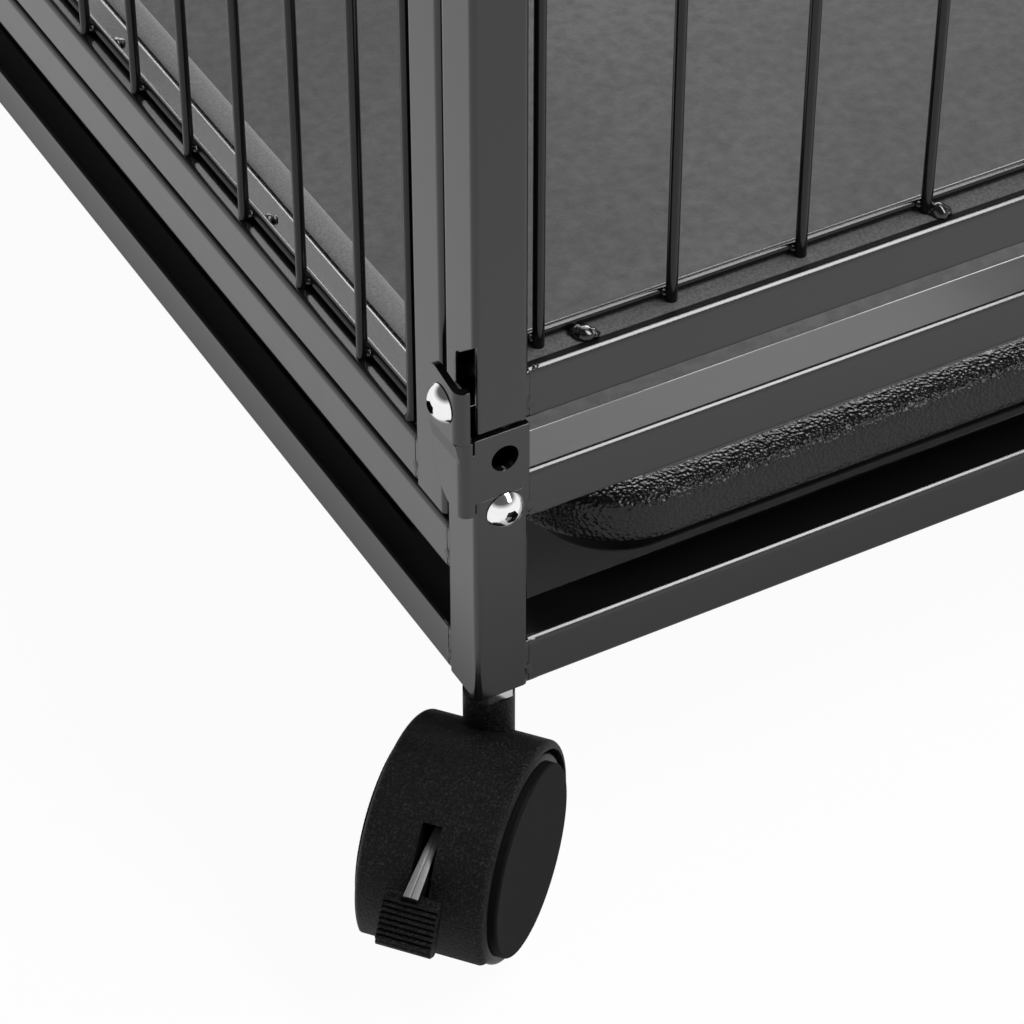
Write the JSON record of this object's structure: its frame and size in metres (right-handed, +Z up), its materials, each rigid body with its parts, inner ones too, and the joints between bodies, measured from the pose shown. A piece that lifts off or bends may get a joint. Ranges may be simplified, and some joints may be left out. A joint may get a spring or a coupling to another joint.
{
  "type": "dog crate",
  "caption": "Folding dog crate of black square tube and welded bars, with a bolted door, a hinged lid, a pull-out tray and swivelling twin-wheel casters with brakes.",
  "frame": {"origin": "on the floor under the middle of the crate", "axes": "+Z up, +Y towards the rear end, the door is at -Y, +X is the right side seen from the door"},
  "size_m": [0.817, 1.1814, 0.7623],
  "materials": {
    "black_paint": "satin",
    "tray_plastic": "pebbled",
    "bright_steel": "polished",
    "plated_steel": "plated",
    "caster_plastic": "fine texture"
  },
  "bodies": {
    "base": {"legs": "black_paint", "hinge_brackets": "black_paint", "lower_rails": "black_paint", "upper_rails": "black_paint", "tray_runners": "black_paint", "caster_stems": "bright_steel", "stem_sockets": "plated_steel"},
    "tray": {"tray": "tray_plastic", "tray_rims": "tray_plastic", "tray_corners": "tray_plastic"},
    "right_side": {"right_side_frame": "black_paint", "right_side_bars": "black_paint", "right_pivot_screws": "bright_steel", "right_pivot_inserts": "plated_steel"},
    "left_side": {"left_side_frame": "black_paint", "left_side_bars": "black_paint", "left_pivot_screws": "bright_steel", "left_pivot_inserts": "plated_steel"},
    "rear_end": {"rear_frame": "black_paint", "rear_bars": "black_paint", "rear_pivot_screws": "bright_steel", "rear_pivot_inserts": "plated_steel", "lid_hinge_brackets": "black_paint", "lid_hinge_pins": "bright_steel"},
    "front_end": {"front_frame": "black_paint", "front_bars": "black_paint", "front_pivot_screws": "bright_steel", "front_pivot_inserts": "plated_steel", "door_hinge_brackets": "black_paint", "door_hinge_pins": "bright_steel", "bolt_keepers": "black_paint", "lid_bolt_guides": "black_paint"},
    "door": {"door_frame": "black_paint", "door_bars": "black_paint", "door_hinge_knuckles": "black_paint", "door_bolt_guides": "black_paint"},
    "upper_door_bolt": {"upper_door_bolt": "bright_steel"},
    "lower_door_bolt": {"lower_door_bolt": "bright_steel"},
    "lid": {"lid_frame": "black_paint", "lid_bars": "black_paint", "lid_hinge_knuckles": "black_paint", "lid_bolt_keepers": "black_paint"},
    "right_lid_bolt": {"right_lid_bolt": "bright_steel"},
    "left_lid_bolt": {"left_lid_bolt": "bright_steel"},
    "rear_right_caster": {"rear_right_hood": "caster_plastic"},
    "rear_right_wheel_pair": {"rear_right_wheels": "caster_plastic", "rear_right_axle": "bright_steel"},
    "rear_right_brake_lever": {"rear_right_brake": "caster_plastic"},
    "rear_left_caster": {"rear_left_hood": "caster_plastic"},
    "rear_left_wheel_pair": {"rear_left_wheels": "caster_plastic", "rear_left_axle": "bright_steel"},
    "rear_left_brake_lever": {"rear_left_brake": "caster_plastic"},
    "front_right_caster": {"front_right_hood": "caster_plastic"},
    "front_right_wheel_pair": {"front_right_wheels": "caster_plastic", "front_right_axle": "bright_steel"},
    "front_right_brake_lever": {"front_right_brake": "caster_plastic"},
    "front_left_caster": {"front_left_hood": "caster_plastic"},
    "front_left_wheel_pair": {"front_left_wheels": "caster_plastic", "front_left_axle": "bright_steel"},
    "front_left_brake_lever": {"front_left_brake": "caster_plastic"}
  },
  "joints": [
    {"name": "right_side_fold", "type": "hinge", "parent": "base", "child": "right_side", "pos_m": [0.339, 0, 0.1755], "axis": [0, -1, 0], "range_deg": [0, 90]},
    {"name": "left_side_fold", "type": "hinge", "parent": "base", "child": "left_side", "pos_m": [-0.339, 0, 0.1971], "axis": [0, 1, 0], "range_deg": [0, 90]},
    {"name": "rear_end_swing", "type": "hinge", "parent": "base", "child": "rear_end", "pos_m": [0, 0.53, 0.2197], "axis": [-1, 0, 0], "range_deg": [0, 90]},
    {"name": "front_end_swing", "type": "hinge", "parent": "base", "child": "front_end", "pos_m": [0, -0.53, 0.2197], "axis": [1, 0, 0], "range_deg": [0, 90]},
    {"name": "door_hinge", "type": "hinge", "parent": "front_end", "child": "door", "pos_m": [0.1985, -0.546, 0.45], "axis": [0, 0, 1], "range_deg": [0, 175]},
    {"name": "upper_door_bolt_slide", "type": "slide", "parent": "door", "child": "upper_door_bolt", "axis": [-1, 0, 0], "range_m": [0, 0.022]},
    {"name": "lower_door_bolt_slide", "type": "slide", "parent": "door", "child": "lower_door_bolt", "axis": [-1, 0, 0], "range_m": [0, 0.022]},
    {"name": "lid_hinge", "type": "hinge", "parent": "rear_end", "child": "lid", "pos_m": [0, 0.546, 0.74215], "axis": [-1, 0, 0], "range_deg": [0, 105]},
    {"name": "right_lid_bolt_slide", "type": "slide", "parent": "front_end", "child": "right_lid_bolt", "axis": [0, 0, 1], "range_m": [0, 0.02]},
    {"name": "left_lid_bolt_slide", "type": "slide", "parent": "front_end", "child": "left_lid_bolt", "axis": [0, 0, 1], "range_m": [0, 0.02]},
    {"name": "tray_slide", "type": "slide", "parent": "base", "child": "tray", "axis": [0, -1, 0], "range_m": [0, 0.9]},
    {"name": "rear_right_swivel", "type": "hinge", "parent": "base", "child": "rear_right_caster", "pos_m": [0.34, 0.53, 0.094], "axis": [0, 0, 1], "continuous": true},
    {"name": "rear_right_roll", "type": "hinge", "parent": "rear_right_caster", "child": "rear_right_wheel_pair", "pos_m": [0.35992, 0.54671, 0.038], "axis": [-0.6428, 0.766, 0], "continuous": true},
    {"name": "rear_right_brake_press", "type": "hinge", "parent": "rear_right_caster", "child": "rear_right_brake_lever", "pos_m": [0.37524, 0.55957, 0.064], "axis": [-0.6428, 0.766, 0], "range_deg": [0, 6]},
    {"name": "rear_left_swivel", "type": "hinge", "parent": "base", "child": "rear_left_caster", "pos_m": [-0.34, 0.53, 0.094], "axis": [0, 0, 1], "continuous": true},
    {"name": "rear_left_roll", "type": "hinge", "parent": "rear_left_caster", "child": "rear_left_wheel_pair", "pos_m": [-0.35992, 0.54671, 0.038], "axis": [-0.6428, -0.766, 0], "continuous": true},
    {"name": "rear_left_brake_press", "type": "hinge", "parent": "rear_left_caster", "child": "rear_left_brake_lever", "pos_m": [-0.37524, 0.55957, 0.064], "axis": [-0.6428, -0.766, 0], "range_deg": [0, 6]},
    {"name": "front_right_swivel", "type": "hinge", "parent": "base", "child": "front_right_caster", "pos_m": [0.34, -0.53, 0.094], "axis": [0, 0, 1], "continuous": true},
    {"name": "front_right_roll", "type": "hinge", "parent": "front_right_caster", "child": "front_right_wheel_pair", "pos_m": [0.35992, -0.54671, 0.038], "axis": [0.6428, 0.766, 0], "continuous": true},
    {"name": "front_right_brake_press", "type": "hinge", "parent": "front_right_caster", "child": "front_right_brake_lever", "pos_m": [0.37524, -0.55957, 0.064], "axis": [0.6428, 0.766, 0], "range_deg": [0, 6]},
    {"name": "front_left_swivel", "type": "hinge", "parent": "base", "child": "front_left_caster", "pos_m": [-0.34, -0.53, 0.094], "axis": [0, 0, 1], "continuous": true},
    {"name": "front_left_roll", "type": "hinge", "parent": "front_left_caster", "child": "front_left_wheel_pair", "pos_m": [-0.35992, -0.54671, 0.038], "axis": [0.6428, -0.766, 0], "continuous": true},
    {"name": "front_left_brake_press", "type": "hinge", "parent": "front_left_caster", "child": "front_left_brake_lever", "pos_m": [-0.37524, -0.55957, 0.064], "axis": [0.6428, -0.766, 0], "range_deg": [0, 6]}
  ]
}
